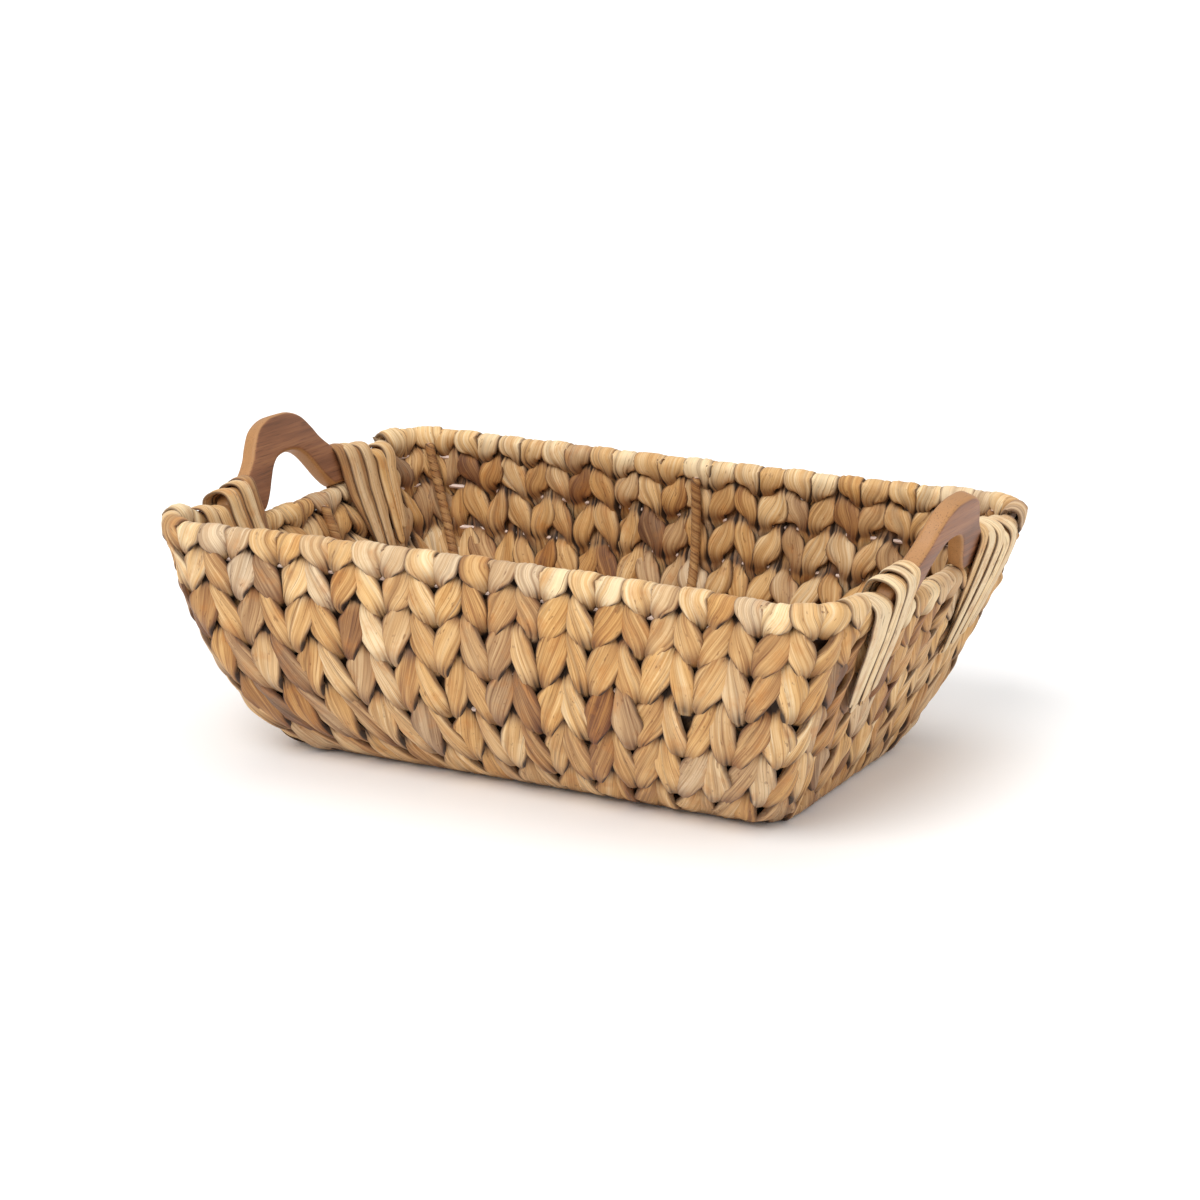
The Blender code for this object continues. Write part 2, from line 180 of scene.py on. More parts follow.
def wall_point(column, level, depth):
    """A point this deep below the wall's outer face."""
    middle, outward, _, _ = wall_frame(np.asarray(column, float), level)
    return middle + outward * (WALL / 2.0 - depth)


def columns_from_end(column):
    """Distance from the middle of the nearer short end, in columns."""
    around = np.mod(column, COLUMNS / 2.0)
    return np.minimum(around, COLUMNS / 2.0 - around)


def top_level(column):
    """Level of the rim wire, which drops under each handle."""
    drop = 1.0 - smooth((columns_from_end(column) - DROP_FULL) / (DROP_END - DROP_FULL))
    return 1.0 - drop * HANDLE_DROP / RIM_WIRE_HEIGHT


RIM_LENGTH = 4.0 * (RIM_HALF_LENGTH + RIM_HALF_WIDTH - 2.0 * RIM_CORNER) + 2.0 * math.pi * RIM_CORNER


def arc_columns(metres):
    """A length along the rim, in columns."""
    return metres * COLUMNS / RIM_LENGTH


# ---------------------------------------------------------------- meshes of strands


class Weave:
    """Collects swept strands into one mesh with the attributes that the leaf material reads."""

    def __init__(self, name):
        self.name = name
        self.points, self.faces, self.fibre, self.look = [], [], [], []
        self.count = 0

    def add(self, points, faces, fibre, look):
        self.points.append(points)
        self.faces.append(faces + self.count)
        self.fibre.append(fibre)
        self.look.append(look)
        self.count += len(points)

    def make(self, material, nodes=()):
        """The piece itself, in place of the CAD nodes named."""
        points, faces = np.concatenate(self.points), np.concatenate(self.faces)
        mesh = bpy.data.meshes.new(self.name)
        mesh.vertices.add(len(points))
        mesh.vertices.foreach_set("co", points.astype(np.float32).ravel())
        mesh.loops.add(faces.size)
        mesh.loops.foreach_set("vertex_index", faces.astype(np.int32).ravel())
        mesh.polygons.add(len(faces))
        mesh.polygons.foreach_set("loop_start", np.arange(0, faces.size, faces.shape[1], dtype=np.int32))
        mesh.update(calc_edges=True)
        for name, values in (("fibre", self.fibre), ("look", self.look)):
            layer = mesh.attributes.new(name, "FLOAT_VECTOR", "POINT")
            layer.data.foreach_set("vector", np.concatenate(values).astype(np.float32).ravel())
        mesh.validate()
        mesh.shade_smooth()
        mesh.materials.append(material)
        piece = bpy.data.objects.new(self.name, mesh)
        bpy.context.scene.collection.objects.link(piece)
        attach(piece, "root")
        if nodes:
            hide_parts(*nodes)


def away_from_middle(points):
    """Level directions from the inside of the basket towards the nearest wall."""
    share = np.clip(points[:, 2] / RIM_WIRE_HEIGHT, 0.0, 1.0)
    length = BASE_HALF_LENGTH + (RIM_HALF_LENGTH - BASE_HALF_LENGTH) * share
    width = BASE_HALF_WIDTH + (RIM_HALF_WIDTH - BASE_HALF_WIDTH) * share
    x, y = points[:, 0] / length, points[:, 1] / width
    return unit(np.stack([x * np.abs(x) ** 8, y * np.abs(y) ** 8, 0.0 * x], axis=1))


def resample(points, values, step):
    """Even spacing along a line of points, with the other values carried along."""
    steps = np.linalg.norm(np.diff(points, axis=0), axis=1)
    run = np.concatenate([[0.0], np.cumsum(steps)])
    count = max(8, int(run[-1] / step))
    at = np.linspace(0.0, run[-1], count)
    table = np.concatenate([points, values], axis=1)
    table = np.stack([np.interp(at, run, table[:, i]) for i in range(table.shape[1])], axis=1)
    for _ in range(3):
        inside = 0.25 * table[:-2] + 0.5 * table[1:-1] + 0.25 * table[2:]
        table[1:-1] = inside
    return table[:, :3], table[:, 3:], at


def sweep(
    weave,
    points,
    outs,
    width,
    thickness,
    look,
    core=None,
    facing=None,
    creases=5,
    crease_depth=CREASE_DEPTH,
    sides=SECTION_POINTS,
):
    """A creased leaf strand along points, bulging towards outs, closed at both ends.

    look holds tone, grey and the amount of painted shade, to which painted shade along the edges, in creases
    and near the middle of the wall is added. core and facing are the middle of the wall and its direction
    outward.
    """
    if core is None:
        core, facing = points - outs * WALL, outs
    values = np.concatenate([outs, width[:, None], thickness[:, None], look, core, facing], axis=1)
    points, values, run = resample(points, values, SAMPLE_STEP)
    outs, width, thickness, look = values[:, :3], values[:, 3], values[:, 4], values[:, 5:8]
    core, facing = values[:, 8:11], values[:, 11:14]
    tangent = unit(np.gradient(points, axis=0))
    across = unit(np.cross(tangent, outs))
    outs = np.cross(across, tangent)
    end_taper = np.minimum(1.0, END_NARROWING + np.minimum(run, run[-1] - run) / END_LENGTH)
    width, thickness = width * end_taper, thickness * end_taper

    angle = np.linspace(0.0, 2.0 * math.pi, sides, endpoint=False)
    x = np.sign(np.cos(angle)) * np.abs(np.cos(angle)) ** 0.8
    y = np.sign(np.sin(angle)) * np.abs(np.sin(angle)) ** 0.85
    phase = random.uniform(0.0, 2.0 * math.pi, 8)
    dip = np.zeros((len(run), sides))
    for i in range(creases):
        place = random.uniform(-0.8, 0.8)
        drift = random.uniform(0.01, 0.07)
        line = place + drift * np.sin(run * random.uniform(60.0, 130.0) + phase[i])
        depth = crease_depth * random.uniform(0.5, 1.6)
        spread = random.uniform(0.03, 0.08)
        dip += depth * np.exp(-(((x[None, :] - line[:, None]) / spread) ** 2))
    dip += 0.00012 * np.sin(17.0 * x[None, :] + phase[5] + 0.8 * np.sin(run[:, None] * 45.0 + phase[6]))
    ripple = 1.0 + 0.035 * np.sin(run * 210.0 + phase[7]) + 0.03 * np.sin(run * 390.0 + phase[4])
    across_at = x[None, :] * (width * ripple)[:, None] / 2.0
    out_at = y[None, :] * thickness[:, None] / 2.0 - dip * np.sign(y)[None, :] * np.abs(y[None, :]) ** 0.5
    skin = points[:, None, :] + across[:, None, :] * across_at[..., None]
    skin = skin + outs[:, None, :] * out_at[..., None]

    rows = len(run)
    skin = skin.reshape(-1, 3)
    i, j = np.meshgrid(np.arange(rows - 1), np.arange(sides), indexing="ij")
    nxt = (j + 1) % sides
    quads = np.stack([i * sides + j, (i + 1) * sides + j, (i + 1) * sides + nxt, i * sides + nxt], axis=-1)
    quads = quads.reshape(-1, 4)
    half = sides // 2
    k = np.arange(half - 1)
    cap = np.stack([k, k + 1, sides - 2 - k, sides - 1 - k], axis=1)
    first = cap
    last = cap[:, ::-1] + (rows - 1) * sides
    faces = np.concatenate([quads, first, last])
    a, b, c = skin[quads[0, 0]], skin[quads[0, 1]], skin[quads[0, 2]]
    away = skin[quads[0, 0]] - points[0]
    if np.dot(np.cross(b - a, c - a), away) < 0.0:
        faces = faces[:, ::-1]
    start = random.uniform(0.0, 3.0)
    fibre = np.stack(
        [
            across_at + 0.05 * start,
            np.repeat(run[:, None], sides, axis=1) + start,
            np.repeat(y[None, :], rows, axis=0) * 0.004,
        ],
        axis=-1,
    )
    look = np.repeat(look[:, None, :], sides, axis=1)
    hollow = np.clip(dip / 0.0006, 0.0, 1.0)
    beyond = skin.reshape(rows, sides, 3) - core[:, None, :]
    from_core = np.abs(np.sum(beyond * facing[:, None, :], axis=-1))
    # painted shade where the leaf lies near the middle of the wall, between the plies
    painted_core_shade = 1.0 - smooth((from_core - CORE_SHADE_FULL) / (CORE_SHADE_END - CORE_SHADE_FULL))
    normal = outs[:, None, :] * y[None, :, None] + across[:, None, :] * x[None, :, None]
    faces_in = -np.sum(normal * away_from_middle(points)[:, None, :], axis=-1)
    painted_core_shade = painted_core_shade * (1.0 - INNER_SHADE_CUT * smooth((faces_in + 0.1) / 0.4))
    # painted shade along the leaf's two edges, where neighbouring leaves meet, and in its creases
    edge = 0.78 * smooth((np.abs(x[None, :]) - 0.76) / 0.24)
    creased = 0.5 * hollow * (np.abs(y[None, :]) > 0.1)
    look[..., 2] = np.clip(look[..., 2] + edge + creased + painted_core_shade, 0.0, 1.0)
    weave.add(skin, faces, fibre.reshape(-1, 3), look.reshape(-1, 3))


def leaf_tone():
    """Lightness of one leaf: mostly golden, now and then grey-brown or dark red-brown."""
    pick = random.uniform()
    if pick < 0.035:
        return random.uniform(0.0, 0.10)
    return float(np.clip(random.normal(0.60, 0.16), 0.18, 1.0))


def leaf_grey():
    """How grey a leaf is: most are golden, about one in four is taupe."""
    return random.uniform(0.55, 1.0) if random.uniform() < 0.24 else random.uniform(0.0, 0.30)


def ply(column, hand, sign):
    """One ply of a twined strand, from the rim down to the base ring, outside and inside by turns.

    hand is the way the strand twists. sign is 1 for the ply that is outside at the rim, and -1 for the other.
    """
    jitter = np.clip(random.normal(0.0, CROSSING_JITTER, len(CROSSINGS)), -MOST_JITTER, MOST_JITTER)
    jitter = jitter * JITTER_SHARES
    going_in = np.arange(len(CROSSINGS)) % 2 == (0 if sign > 0 else 1)
    crossings = np.array(CROSSINGS) + jitter + np.where(going_in, 0.0, LEAF_OVERLAP)
    knots = (1.0,) + tuple(crossings) + (0.0,)
    phases = [0.0] + [(0.5 + i) * math.pi for i in range(len(CROSSINGS))] + [len(CROSSINGS) * math.pi]
    share = np.linspace(1.0, LOWEST_LEVEL, PLY_SAMPLES)
    phase = np.interp(-share, -np.array(knots), phases)
    kernel = np.ones(TURN_SMOOTHING) / TURN_SMOOTHING
    pad = TURN_SMOOTHING // 2
    before = 2 * phase[0] - phase[pad:0:-1]
    after = 2 * phase[-1] - phase[-2 : -2 - pad : -1]
    padded = np.concatenate([before, phase, after])
    phase = np.convolve(padded, kernel, mode="valid")

    leaves = len(CROSSINGS) + 1
    spots = np.arange(leaves) * math.pi

    def uneven(spread):
        return np.interp(phase, spots, random.normal(0.0, spread, leaves))

    near_rim = smooth((share - (1.0 - NEAR_RIM)) / NEAR_RIM)
    depth = PLY_DEPTH + (RIM_PLY_DEPTH - PLY_DEPTH) * near_rim
    wander = np.clip(uneven(UNEVEN_DEPTH), -MOST_UNEVEN_DEPTH, MOST_UNEVEN_DEPTH)
    depth = depth + wander * (1.0 - near_rim)
    depth = depth + FLAP_OVERLAP * hand * near_rim
    swing = SWING * (1.0 + uneven(UNEVEN_SWING))
    sideways = sign * hand * swing * np.sin(phase) + uneven(UNEVEN_SIDE) * (1.0 - near_rim)
    sideways = sideways + hand * sign * CHEVRON_LEAN * np.cos(phase)
    at_column = column + sideways
    bias = sign * OUTER_SHARE * (1.0 - near_rim)
    swung = (np.cos(phase) + bias) / (1.0 + OUTER_SHARE * (1.0 - near_rim))
    reach = np.sign(swung) * np.abs(swung) ** REACH_CURVE
    middle, outward, side, _ = wall_frame(at_column, share * top_level(column))
    points = middle + outward * (sign * depth * reach)[:, None]
    roll = sign * ROLL * np.sin(phase) + uneven(UNEVEN_ROLL)
    outs = sign * (outward * np.cos(roll)[:, None] + side * (hand * np.sin(roll))[:, None])
    leaf = phase / math.pi + 0.5
    number = np.minimum(np.floor(leaf).astype(int), leaves - 1)
    part = leaf - np.floor(leaf)
    # a leaf is broad soon after it comes out, and it narrows slowly to its tip
    swell = END_WIDTH + (1.0 - END_WIDTH) * smooth(part / SWELL_END)
    taper = 1.0 - (1.0 - END_WIDTH) * smooth((part - TAPER_START) / (1.0 - TAPER_START))
    fullness = swell * taper
    widest = LEAF_WIDTH_BASE + (LEAF_WIDTH_TOP - LEAF_WIDTH_BASE) * share
    wander = np.clip(uneven(UNEVEN_WIDTH), -MOST_UNEVEN_WIDTH, MOST_UNEVEN_WIDTH)
    widest = (widest + (FLAP_WIDTH - LEAF_WIDTH_TOP) * near_rim) * (1.0 + wander)
    width = WAIST_WIDTH + (widest - WAIST_WIDTH) * fullness
    body = LEAF_THICKNESS + (FLAP_THICKNESS - LEAF_THICKNESS) * near_rim
    thickness = WAIST_THICKNESS + (body - WAIST_THICKNESS) * fullness
    base_tone, base_grey = leaf_tone(), leaf_grey()
    tones = np.array([0.35 * base_tone + 0.65 * leaf_tone() for _ in range(leaves)])
    greys = np.array([0.3 * base_grey + 0.7 * leaf_grey() for _ in range(leaves)])
    # painted shade towards the leaf's tip, and a little at its start
    tip_shade = 0.70 * smooth((part - TIP_SHADE_START) / (1.0 - TIP_SHADE_START)) + 0.15 * smooth((0.14 - part) / 0.14)
    look = np.stack([tones[number], greys[number], tip_shade], axis=1)
    return points, outs, width, thickness, look, middle, outward


def strand(weave, column, hand):
    """One closed-over strand: up the wall, over the rim wire and down again, twined with itself."""
    up = [part[::-1] for part in ply(column, hand, -1.0)]
    up[6] = -up[6]
    down = list(ply(column, hand, 1.0))
    flap_tone = float(np.clip(random.normal(0.80, 0.12), 0.45, 1.0))
    flap_grey = random.uniform(0.0, 0.25) if random.uniform() < 0.8 else random.uniform(0.4, 0.8)
    rows = len(up[0])
    near = int(rows * FLAP_SHARE)
    for part, place in ((up, slice(rows - near, rows)), (down, slice(0, near))):
        part[4][place, 0] = flap_tone
        part[4][place, 1] = flap_grey

    top = float(top_level(column))
    middle, outward, side, upward = (v[0] for v in wall_frame(np.array([column]), np.array([top])))
    beside = np.array([column - 0.1, column + 0.1])
    rim_ends = outer_point(beside, top_level(beside))
    along_rim = unit(rim_ends[1] - rim_ends[0])
    upward = unit(upward - np.dot(upward, along_rim) * along_rim)
    turn = np.radians(np.linspace(-FOLD_TURN, FOLD_TURN, FOLD_POINTS))
    lift = RIM_LIFT + FLAP_OVERLAP * hand + random.uniform(-0.0002, 0.0004)
    over = middle + np.outer(np.sin(turn) * RIM_PLY_DEPTH, outward) + np.outer(np.cos(turn) * lift, upward)
    over_outs = np.outer(np.sin(turn), outward) + np.outer(np.cos(turn), upward)
    flat = np.ones(len(turn))
    over_look = np.stack([flap_tone * flat, flap_grey * flat, 0.0 * flat], axis=1)
    over_width = up[2][-1] * flat * (1.0 - 0.06 * np.cos(turn))
    over_core = middle + 0.0 * over
    loop = (over, over_outs, over_width, FLAP_THICKNESS * flat, over_look, over_core, over_outs)

    _, level_out, _, _ = (v[0] for v in wall_frame(np.array([column]), np.array([0.1])))
    level_out = unit(np.array([level_out[0], level_out[1], 0.0]))
    vertical = np.array([0.0, 0.0, 1.0])

    def tucked(stations, source, core_side):
        """A ply's end at the base, through stations of inset, height and tilt from outward to down."""
        places, outs = [], []
        for inset, height, tilt in stations:
            place = outer_point(column, 0.0, inset)
            place[2] = height
            places.append(place)
            outs.append(level_out * math.cos(math.radians(tilt)) + vertical * math.sin(math.radians(tilt)))
        ones = np.ones(len(places))
        # painted shade on the ends tucked under the base ring and inside the wall
        look = np.outer(ones, source[4]) * np.array([1.0, 1.0, 0.0]) + np.outer(ones, [0.0, 0.0, 0.35])
        places, outs = np.array(places), np.array(outs)
        width, thickness = ones * source[2], ones * source[3] * 0.85
        return places, -outs, width, thickness, look, places - outs * WALL, outs * core_side

    outside_end = [
        (0.0125, UNDER_HEIGHT + 0.0010, -100.0),
        (0.0090, UNDER_HEIGHT, -90.0),
        (0.0050, UNDER_HEIGHT, -90.0),
        (0.0022, UNDER_HEIGHT + 0.0002, -75.0),
        (0.0004, UNDER_HEIGHT + 0.0014, -45.0),
    ]
    inside_end = [(0.0118, 0.0095, 165.0), (0.0128, 0.0065, 180.0), (0.0126, 0.0040, 195.0)]
    under = tucked(outside_end, [part[0] for part in up], -1.0)
    inside = tucked(inside_end, [part[-1] for part in down], 1.0)
    parts = zip(under, up, loop, down, inside)
    points, outs, width, thickness, look, core, facing = (np.concatenate(group) for group in parts)
    sweep(weave, points, outs, width, thickness, look, core, facing)


# ---------------------------------------------------------------- materials


def linear(red, green, blue):
    """A display colour of 0 to 255 as linear light."""
    shares = [channel / 255.0 for channel in (red, green, blue)]
    return tuple(s / 12.92 if s <= 0.04045 else ((s + 0.055) / 1.055) ** 2.4 for s in shares) + (1.0,)


class Nodes:
    """Shorthand for building a node tree."""

    def __init__(self, name):
        self.material = bpy.data.materials.new(name)
        self.material.use_nodes = True
        self.tree = self.material.node_tree
        self.shader = self.tree.nodes["Principled BSDF"]

    def node(self, kind, **values):
        made = self.tree.nodes.new(kind)
        for key, value in values.items():
            if key.startswith("in_"):
                made.inputs[int(key[3:])].default_value = value
            else:
                setattr(made, key, value)
        return made

    def link(self, source, target):
        self.tree.links.new(source, target)

    def math(self, operation, first, second=None):
        made = self.node("ShaderNodeMath", operation=operation)
        for socket, value in zip(made.inputs, (first, second)):
            if value is None:
                continue
            if isinstance(value, (int, float)):
                socket.default_value = value
            else:
                self.link(value, socket)
        return made.outputs[0]

    def noise(self, vector, scale, detail=3.0, roughness=0.6, distortion=0.0):
        mapped = self.node("ShaderNodeMapping")
        mapped.inputs["Scale"].default_value = scale
        self.link(vector, mapped.inputs["Vector"])
        made = self.node("ShaderNodeTexNoise")
        made.inputs["Scale"].default_value = 1.0
        made.inputs["Detail"].default_value = detail
        made.inputs["Roughness"].default_value = roughness
        made.inputs["Distortion"].default_value = distortion
        self.link(mapped.outputs[0], made.inputs["Vector"])
        return made.outputs["Fac"]

    def ramp(self, value, stops):
        made = self.node("ShaderNodeValToRGB")
        elements = made.color_ramp.elements
        while len(elements) < len(stops):
            elements.new(0.5)
        for element, (place, colour) in zip(elements, stops):
            element.position = place
            element.color = colour
        self.link(value, made.inputs[0])
        return made.outputs["Color"]

    def mix(self, share, first, second, blend="MIX"):
        made = self.node("ShaderNodeMix", data_type="RGBA", blend_type=blend)
        for socket, value in ((made.inputs[0], share), (made.inputs[6], first), (made.inputs[7], second)):
            if isinstance(value, (int, float, tuple)):
                socket.default_value = value
            else:
                self.link(value, socket)
        return made.outputs[2]


def leaf_material(name):
    """Dried leaf: golden to cream, grey or red-brown by strand, with lengthwise fibres and painted shade in
    creases, along edges, at tips and deep in the wall.
    """
    n = Nodes(name)
    fibre = n.node("ShaderNodeAttribute", attribute_name="fibre").outputs["Vector"]
    look = n.node("ShaderNodeAttribute", attribute_name="look").outputs["Vector"]
    split = n.node("ShaderNodeSeparateXYZ")
    n.link(look, split.inputs[0])
    tone, grey, dark = split.outputs

    streak = n.noise(fibre, (1500.0, 20.0, 400.0), detail=4.0, roughness=0.6)
    broad = n.noise(fibre, (190.0, 22.0, 60.0), detail=2.0)
    blotch = n.noise(fibre, (95.0, 75.0, 60.0), detail=3.0)
    fine = n.noise(fibre, (2600.0, 60.0, 900.0), detail=2.0)

    shift = n.math("MULTIPLY", n.math("SUBTRACT", streak, 0.5), 0.95)
    shift = n.math("ADD", shift, n.math("MULTIPLY", n.math("SUBTRACT", broad, 0.5), 0.75))
    light = n.math("ADD", tone, shift)
    golden = n.ramp(
        light,
        [
            (0.00, linear(92, 46, 22)),
            (0.16, linear(134, 86, 46)),
            (0.36, linear(176, 123, 66)),
            (0.58, linear(211, 162, 97)),
            (0.78, linear(229, 188, 130)),
            (1.00, linear(243, 217, 172)),
        ],
    )
    taupe = n.ramp(
        light,
        [
            (0.00, linear(80, 56, 40)),
            (0.30, linear(134, 106, 80)),
            (0.60, linear(178, 148, 116)),
            (1.00, linear(220, 196, 164)),
        ],
    )
    colour = n.mix(grey, golden, taupe)
    amber = n.math("MULTIPLY", n.math("SUBTRACT", blotch, 0.52), 2.4)
    amber = n.math("MINIMUM", n.math("MAXIMUM", amber, 0.0), 0.60)
    colour = n.mix(amber, colour, linear(190, 122, 52))
    spots = n.noise(fibre, (420.0, 160.0, 200.0), detail=2.0, roughness=0.7)
    spots = n.math("MULTIPLY", n.math("SUBTRACT", spots, 0.64), 7.0)
    spots = n.math("MINIMUM", n.math("MAXIMUM", spots, 0.0), 0.5)
    colour = n.mix(spots, colour, linear(104, 58, 26))
    lines = n.noise(fibre, (900.0, 14.0, 260.0), detail=3.0, roughness=0.7)
    lines = n.math("MULTIPLY", n.math("SUBTRACT", lines, 0.58), 6.0)
    lines = n.math("MINIMUM", n.math("MAXIMUM", lines, 0.0), 0.55)
    colour = n.mix(lines, colour, linear(112, 66, 32))
    # painted shade: the third value of look darkens the leaf to brown, and beyond 0.6 towards near black
    shaded_colour = n.mix(n.math("MINIMUM", dark, 0.60), colour, linear(96, 50, 22))
    deep = n.math("MULTIPLY", n.math("SUBTRACT", dark, 0.60), 2.4)
    deep = n.math("MINIMUM", n.math("MAXIMUM", deep, 0.0), 0.92)
    colour = n.mix(deep, shaded_colour, linear(30, 14, 6))
    n.link(colour, n.shader.inputs["Base Color"])
    rough = n.math("ADD", 0.50, n.math("MULTIPLY", streak, 0.25))
    n.link(rough, n.shader.inputs["Roughness"])
    n.shader.inputs["Specular IOR Level"].default_value = 0.35
    n.shader.inputs["Sheen Weight"].default_value = 0.06

    height = n.math("ADD", n.math("MULTIPLY", streak, 0.7), n.math("MULTIPLY", fine, 0.3))
    bump = n.node("ShaderNodeBump")
    bump.inputs["Strength"].default_value = 0.55
    bump.inputs["Distance"].default_value = 0.0009
    n.link(height, bump.inputs["Height"])
    n.link(bump.outputs[0], n.shader.inputs["Normal"])
    return n.material


def wood_material():
    """Oiled hardwood plank with the grain along the handle."""
    n = Nodes("handle_wood_grain")
    place = n.node("ShaderNodeTexCoord").outputs["Object"]
    warp = n.noise(place, (38.0, 14.0, 42.0), detail=2.0)
    grain = n.noise(place, (620.0, 22.0, 560.0), detail=4.0, roughness=0.62, distortion=0.4)
    bands = n.noise(place, (120.0, 7.0, 110.0), detail=2.0, distortion=0.6)
    pores = n.noise(place, (1900.0, 60.0, 1700.0), detail=1.0)
    value = n.math("ADD", n.math("MULTIPLY", grain, 0.45), n.math("MULTIPLY", bands, 0.55))
    value = n.math("ADD", value, n.math("MULTIPLY", n.math("SUBTRACT", warp, 0.5), 0.25))
    colour = n.ramp(
        value,
        [
            (0.25, linear(84, 48, 28)),
            (0.42, linear(118, 73, 44)),
            (0.56, linear(140, 90, 57)),
            (0.75, linear(168, 116, 74)),
        ],
    )
    edge = n.node("ShaderNodeAttribute", attribute_name="edge").outputs["Fac"]
    colour = n.mix(n.math("MULTIPLY", edge, 0.70), colour, linear(186, 136, 82))
    dots = n.math("MULTIPLY", n.math("SUBTRACT", pores, 0.60), 4.0)
    dots = n.math("MINIMUM", n.math("MAXIMUM", dots, 0.0), 0.45)
    colour = n.mix(dots, colour, linear(58, 34, 20))
    n.link(colour, n.shader.inputs["Base Color"])
    n.link(n.math("ADD", 0.42, n.math("MULTIPLY", grain, 0.2)), n.shader.inputs["Roughness"])
    bump = n.node("ShaderNodeBump")
    bump.inputs["Strength"].default_value = 0.3
    bump.inputs["Distance"].default_value = 0.0004
    n.link(grain, bump.inputs["Height"])
    n.link(bump.outputs[0], n.shader.inputs["Normal"])
    return n.material


def wire_material():
    """Pale lacquered steel, slightly mottled."""
    n = Nodes("frame_wire_lacquer")
    place = n.node("ShaderNodeTexCoord").outputs["Object"]
    mottle = n.noise(place, (160.0, 160.0, 160.0), detail=3.0)
    colour = n.ramp(mottle, [(0.30, linear(196, 166, 148)), (0.70, linear(238, 214, 200))])
    n.link(colour, n.shader.inputs["Base Color"])
    n.link(n.math("ADD", 0.35, n.math("MULTIPLY", mottle, 0.2)), n.shader.inputs["Roughness"])
    return n.material


LEAF = leaf_material("hyacinth_leaf")
PALE_LEAF = leaf_material("lashing_leaf")
WOOD = wood_material()
WIRE = wire_material()

# ---------------------------------------------------------------- wall columns

for number in range(COLUMNS):
    weave = Weave(f"braid_{number + 1:02d}")
    middle = number + BRAID_SHIFT
    strand(weave, middle - SINGLE_OFFSET, 1.0)
    strand(weave, middle + SINGLE_OFFSET, -1.0)
    weave.make(LEAF, [f"wall_braid_{number + 1:02d}"])

# ---------------------------------------------------------------- woven base

BASE_SINGLES = 26
BASE_ROW = 0.0215
BASE_PLY_DEPTH = 0.0029
BASE_LEAF_WIDTH = 0.0128
BASE_LEAF_THICKNESS = 0.0027
BASE_SWING = 0.0026
BASE_WAIST_WIDTH = 0.0056
BASE_WAIST_THICKNESS = 0.0036


def base_half_width(x):
    """Half width of the mat at a distance along the base."""
    length = BASE_HALF_LENGTH - FOOT_WIDTH
    width = BASE_HALF_WIDTH - FOOT_WIDTH
    corner = BASE_CORNER - FOOT_WIDTH
    beyond = max(0.0, abs(x) - (length - corner))
    return width - corner + math.sqrt(max(0.0, corner**2 - beyond**2))


def base_strand(weave, x, hand):
    """Two plies twined across the base, one above and one below by turns."""
    half = base_half_width(x) + 0.002
    for sign in (1.0, -1.0):
        y = np.linspace(-half, half, 110)
        phase = math.pi * y / BASE_ROW
        cosine, sine = np.cos(phase), np.sin(phase)
        reach = np.sign(cosine) * np.abs(cosine) ** 0.85
        flat = np.ones(len(y))
        height = BASE_THICKNESS / 2.0 + sign * reach * BASE_PLY_DEPTH
        points = np.stack([x + sign * hand * sine * BASE_SWING, y, height], axis=1)
        roll = sign * ROLL * sine
        outs = np.stack([sign * hand * np.sin(roll), 0.0 * flat, sign * np.cos(roll)], axis=1)
        fullness = np.abs(cosine) ** 0.75
        width = BASE_WAIST_WIDTH + (BASE_LEAF_WIDTH - BASE_WAIST_WIDTH) * fullness
        thickness = BASE_WAIST_THICKNESS + (BASE_LEAF_THICKNESS - BASE_WAIST_THICKNESS) * fullness
        leaf = phase / math.pi + 20.5
        number = np.floor(leaf).astype(int)
        part = leaf - number
        tones = np.array([leaf_tone() for _ in range(number.max() + 1)])
        greys = np.array([leaf_grey() for _ in range(number.max() + 1)])
        # painted shade towards each leaf's tip, and a little at its start
        tip_shade = 0.7 * smooth((part - 0.7) / 0.3) + 0.3 * smooth((0.15 - part) / 0.15)
        look = np.stack([tones[number], greys[number], tip_shade], axis=1)
        core = points * np.array([1.0, 1.0, 0.0]) + np.array([0.0, 0.0, BASE_THICKNESS / 2.0])
        facing = np.outer(flat, [0.0, 0.0, 1.0])
        sweep(weave, points, outs, width, thickness, look, core, facing, creases=3, sides=18)


weave = Weave("base_weave")
span = 2.0 * (BASE_HALF_LENGTH - FOOT_WIDTH)
for single in range(BASE_SINGLES):
    x = -span / 2.0 + (single + 0.5) * span / BASE_SINGLES
    base_strand(weave, x, 1.0 if single % 2 else -1.0)
weave.make(LEAF, ["base_mat"])

# ---------------------------------------------------------------- cords over the ribs, on the wall's inside

CORD_RADIUS = 0.0016
CORD_PROUD = 0.0010
CORD_TURN = 0.0090
CORD_WIDTH = 0.0054
CORD_THICKNESS = 0.0032
CORD_STEP = 0.0008
CORD_TOP = 0.965  # as a share of the wall's height
CORD_BOTTOM = 0.06
CORD_LOOK = (0.42, 0.25, 0.15)


